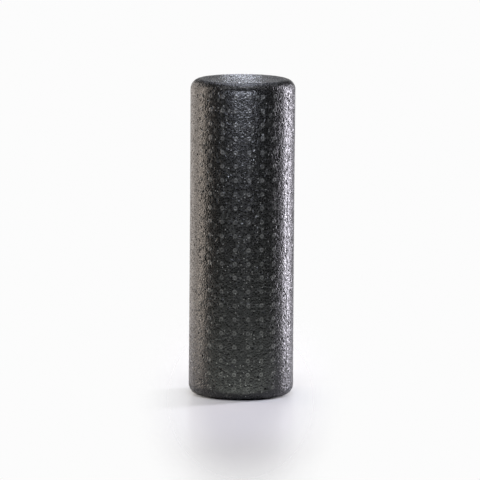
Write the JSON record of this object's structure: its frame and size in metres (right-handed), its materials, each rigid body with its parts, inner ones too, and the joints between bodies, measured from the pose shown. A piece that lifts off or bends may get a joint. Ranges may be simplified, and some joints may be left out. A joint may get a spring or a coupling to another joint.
{
  "type": "foam roller",
  "caption": "Cylindrical high-density bead-foam massage roller with rounded ends, standing upright; rolled under the body to press and loosen muscles.",
  "frame": {"origin": "centre of the flat bottom end face that the roller stands on", "axes": "+Z along the roller's axis, from the bottom end face to the top one; the parting line runs down the side at -30 and +150 degrees about +Z from +X"},
  "size_m": [0.151, 0.151, 0.457],
  "materials": {
    "foam_skin": "satin",
    "foam_core": "matte"
  },
  "bodies": {
    "root": {"moulded_skin": "foam_skin", "bead_core": "foam_core"}
  },
  "joints": []
}
